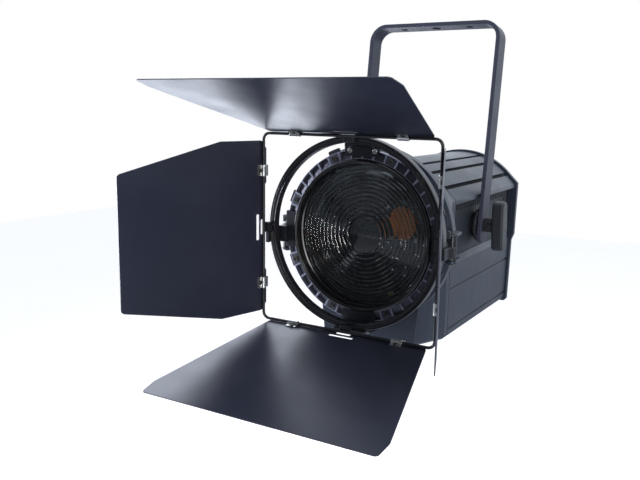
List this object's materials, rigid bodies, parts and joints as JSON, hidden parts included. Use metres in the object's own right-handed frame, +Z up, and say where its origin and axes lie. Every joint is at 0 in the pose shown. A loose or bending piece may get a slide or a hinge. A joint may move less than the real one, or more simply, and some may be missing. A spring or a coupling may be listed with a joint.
{
  "type": "fresnel spotlight",
  "caption": "Studio fresnel spotlight with an arched housing in a U-yoke, a stepped round lens and a rotating barn door with four hinged leaves.",
  "frame": {"origin": "centre of the hanging hole, on the top face of the yoke's top bar", "axes": "+Z up, -Y the way the light shines, +X to the right seen from in front of the lens"},
  "size_m": [0.3936, 0.6323, 0.4636],
  "materials": {
    "yoke_paint": "satin",
    "casting_paint": "satin",
    "black_paint": "satin",
    "black_casting": "satin",
    "gloss_black": "gloss",
    "black_plastic": "matte",
    "rubber": "matte",
    "steel": "satin",
    "bare_aluminium": "satin",
    "lens_glass": "gloss",
    "brass": "satin",
    "led_yellow": "matte",
    "window": "gloss",
    "button_grey": "matte"
  },
  "bodies": {
    "yoke": {"yoke_bracket": "yoke_paint"},
    "housing": {"front_casting": "casting_paint", "upper_shell": "casting_paint", "lower_shell": "casting_paint", "side_panel_left": "casting_paint", "side_panel_right": "casting_paint", "rear_cap": "casting_paint", "rear_panel": "black_casting", "bezel_ring": "black_casting", "lens_retainer": "gloss_black", "fresnel_lens": "lens_glass", "lens_gasket": "rubber", "holder_left": "black_casting", "holder_right": "black_casting", "holder_bottom": "black_casting", "holder_top": "black_casting", "pivot_stud_left": "steel", "pivot_stud_right": "steel", "friction_disc_left": "rubber", "friction_disc_right": "rubber", "display_window": "window", "power_inlet": "black_plastic", "power_outlet": "black_plastic", "dmx_in": "black_plastic", "dmx_out": "black_plastic", "fuse_holder": "black_plastic", "safety_eye": "steel", "guide_rod_left": "steel", "guide_rod_right": "steel", "zoom_motor": "black_plastic", "power_supply": "bare_aluminium", "fan_frame": "black_plastic"},
    "zoom_carriage": {"led_carriage": "bare_aluminium", "heatsink": "bare_aluminium", "led_module": "led_yellow"},
    "zoom_screw": {"lead_screw": "brass"},
    "fan": {"fan_rotor": "black_plastic"},
    "ring_latch": {"top_latch": "steel"},
    "barn_door": {"accessory_ring": "black_paint", "door_frame": "black_paint"},
    "knob_left_body": {"knob_left": "black_plastic"},
    "knob_right_body": {"knob_right": "black_plastic"},
    "leaf_top_body": {"leaf_top": "black_paint", "clip_top_1": "steel", "clip_top_2": "steel"},
    "leaf_bottom_body": {"leaf_bottom": "black_paint", "clip_bottom_1": "steel", "clip_bottom_2": "steel"},
    "leaf_left_body": {"leaf_left": "black_paint", "clip_left_1": "steel", "clip_left_2": "steel"},
    "leaf_right_body": {"leaf_right": "black_paint", "clip_right_1": "steel", "clip_right_2": "steel"},
    "button_1_body": {"menu_button_1": "button_grey"},
    "button_2_body": {"menu_button_2": "button_grey"},
    "button_3_body": {"menu_button_3": "button_grey"},
    "button_4_body": {"menu_button_4": "button_grey"}
  },
  "joints": [
    {"name": "housing_tilt", "type": "hinge", "parent": "yoke", "child": "housing", "pos_m": [0, -0.04133, -0.29411], "axis": [1, 0, 0], "range_deg": [-50, 55]},
    {"name": "knob_left_turn", "type": "hinge", "parent": "housing", "child": "knob_left_body", "pos_m": [-0.12, -0.04133, -0.29411], "axis": [-1, 0, 0], "range_deg": [-180, 180]},
    {"name": "knob_right_turn", "type": "hinge", "parent": "housing", "child": "knob_right_body", "pos_m": [0.12, -0.04133, -0.29411], "axis": [1, 0, 0], "range_deg": [-180, 180]},
    {"name": "barn_door_rotation", "type": "hinge", "parent": "housing", "child": "barn_door", "pos_m": [0, -0.26333, -0.28811], "axis": [0, -1, 0], "continuous": true},
    {"name": "leaf_top_hinge", "type": "hinge", "parent": "barn_door", "child": "leaf_top_body", "pos_m": [0, -0.27713, -0.16111], "axis": [-1, 0, 0], "range_deg": [-50, 59]},
    {"name": "leaf_bottom_hinge", "type": "hinge", "parent": "barn_door", "child": "leaf_bottom_body", "pos_m": [0, -0.27713, -0.41511], "axis": [1, 0, 0], "range_deg": [-45.5, 63.5]},
    {"name": "leaf_left_hinge", "type": "hinge", "parent": "barn_door", "child": "leaf_left_body", "pos_m": [-0.127, -0.27713, -0.28811], "axis": [0, 0, 1], "range_deg": [-60.5, 47.5]},
    {"name": "leaf_right_hinge", "type": "hinge", "parent": "barn_door", "child": "leaf_right_body", "pos_m": [0.127, -0.27713, -0.28811], "axis": [0, 0, -1], "range_deg": [-54, 54]},
    {"name": "latch_slide", "type": "slide", "parent": "housing", "child": "ring_latch", "axis": [0, 0, 1], "range_m": [0, 0.009], "stiffness_N_per_m": 400, "springref_m": -0.003},
    {"name": "zoom_travel", "type": "slide", "parent": "housing", "child": "zoom_carriage", "axis": [0, 1, 0], "range_m": [0, 0.095]},
    {"name": "zoom_screw_turn", "type": "hinge", "parent": "housing", "child": "zoom_screw", "pos_m": [0, -0.14933, -0.37811], "axis": [0, 1, 0], "range_deg": [0, 3420]},
    {"name": "fan_spin", "type": "hinge", "parent": "housing", "child": "fan", "pos_m": [0, 0.10367, -0.27411], "axis": [0, 1, 0], "continuous": true},
    {"name": "button_1_press", "type": "slide", "parent": "housing", "child": "button_1_body", "axis": [0, -1, 0], "range_m": [0, 0.0012], "stiffness_N_per_m": 250, "springref_m": -0.0008},
    {"name": "button_2_press", "type": "slide", "parent": "housing", "child": "button_2_body", "axis": [0, -1, 0], "range_m": [0, 0.0012], "stiffness_N_per_m": 250, "springref_m": -0.0008},
    {"name": "button_3_press", "type": "slide", "parent": "housing", "child": "button_3_body", "axis": [0, -1, 0], "range_m": [0, 0.0012], "stiffness_N_per_m": 250, "springref_m": -0.0008},
    {"name": "button_4_press", "type": "slide", "parent": "housing", "child": "button_4_body", "axis": [0, -1, 0], "range_m": [0, 0.0012], "stiffness_N_per_m": 250, "springref_m": -0.0008}
  ],
  "couplings": [
    {"joint": "zoom_screw_turn", "follows": "zoom_travel", "rad_per_m": 628.32}
  ]
}
